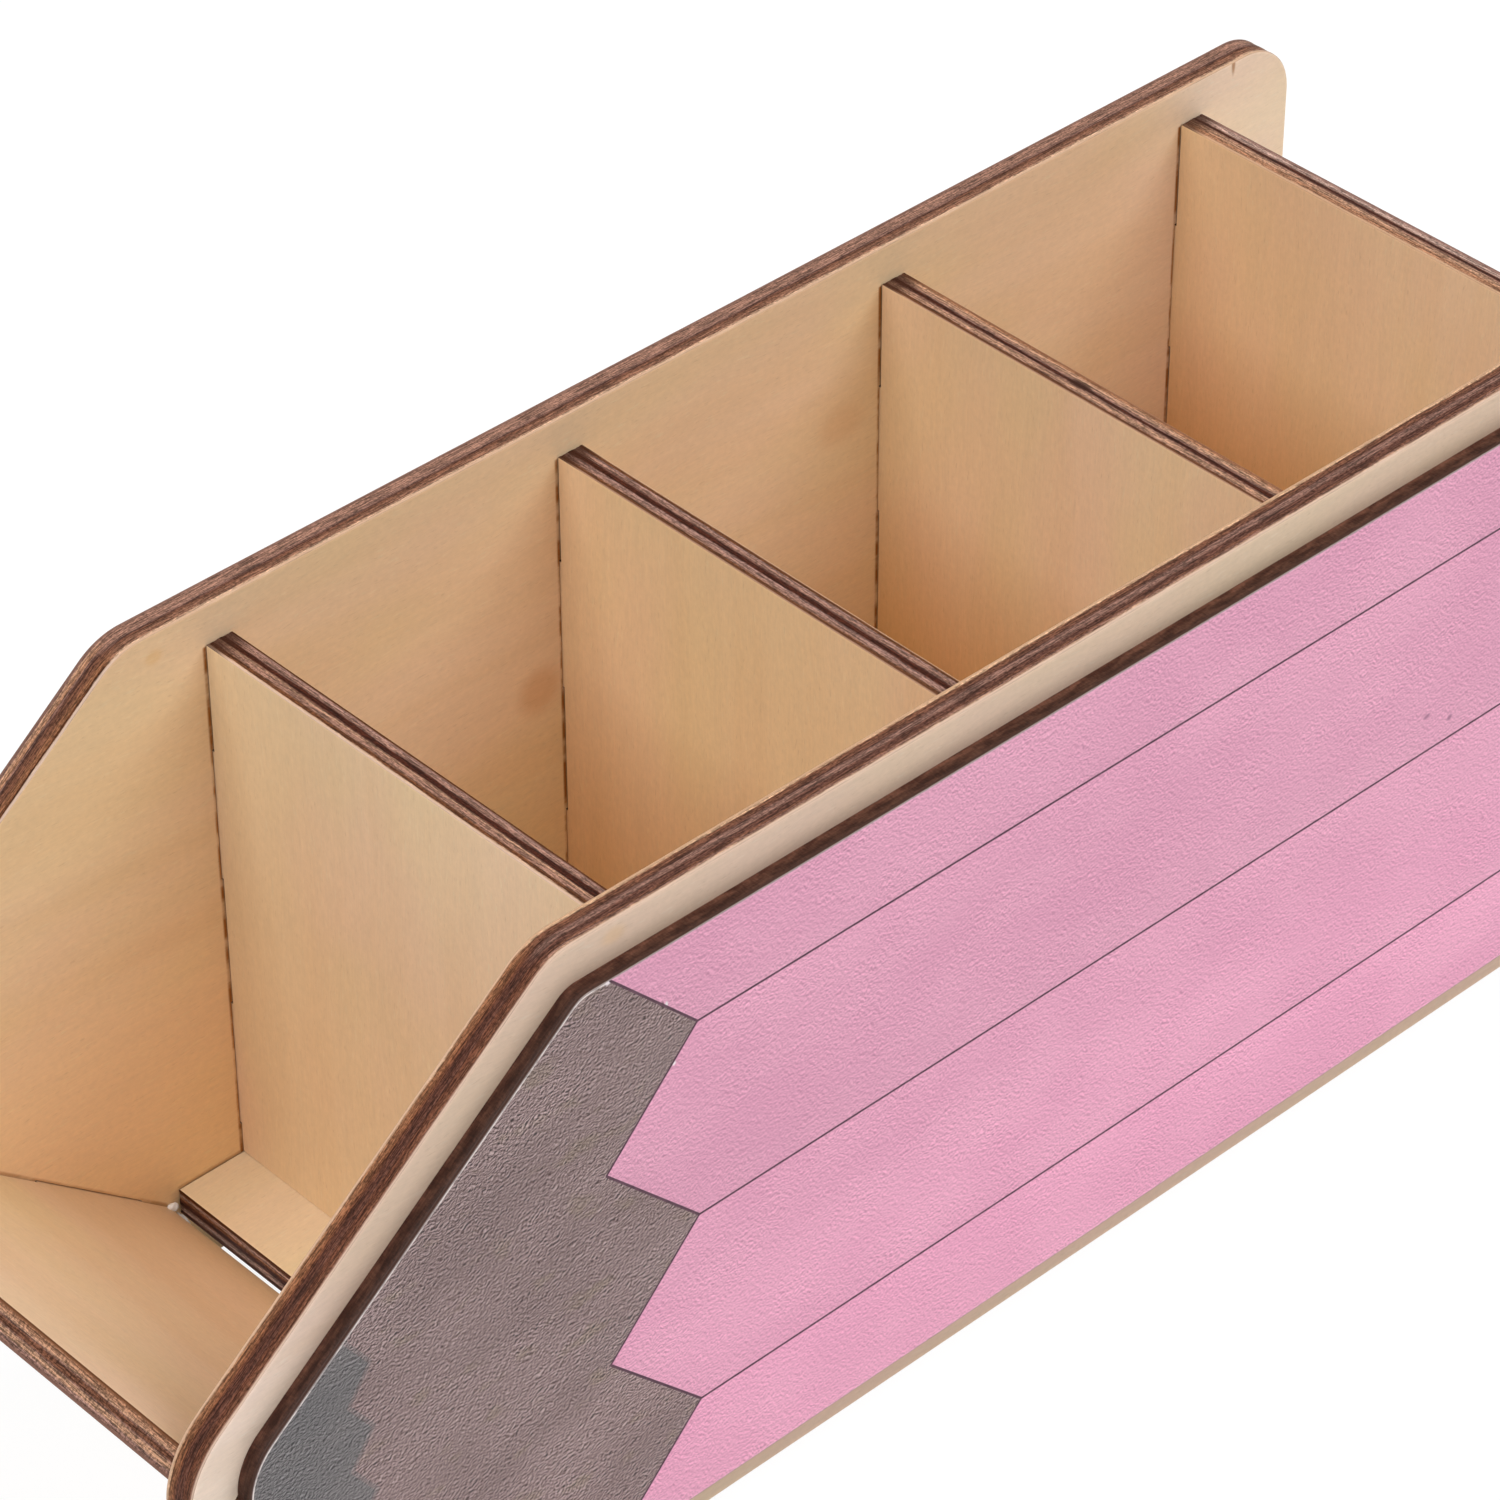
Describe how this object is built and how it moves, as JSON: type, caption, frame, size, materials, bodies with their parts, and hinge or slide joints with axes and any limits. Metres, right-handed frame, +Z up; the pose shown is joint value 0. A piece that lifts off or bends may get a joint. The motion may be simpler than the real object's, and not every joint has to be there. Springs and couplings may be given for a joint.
{
  "type": "wooden pen holder",
  "caption": "Pencil-shaped wooden desk organiser with upright compartments, a sloping tip compartment and a printed pencil face.",
  "frame": {"origin": "middle of the bounding box's bottom face, on the surface that the holder stands on", "axes": "+X along the pencil from its tip to its flat end, +Y from the printed face to the back panel, +Z up"},
  "size_m": [0.2294, 0.074, 0.0896],
  "materials": {
    "plywood": "bare sanded birch plywood with laser-charred brown cut edges",
    "thin_board": "thin board whose cut edge is charred dark brown",
    "printed_skin": "embossed leather-look sheet, satin, printed pink for the body, taupe for the cone and grey-blue for the lead"
  },
  "bodies": {
    "root": {"front_panel": "plywood", "back_panel": "plywood", "facing_board": "thin_board", "facing_skin": "printed_skin", "divider_1": "plywood", "divider_2": "plywood", "divider_3": "plywood", "end_wall": "plywood", "floor_panel": "plywood", "slope_board": "plywood"}
  },
  "joints": []
}
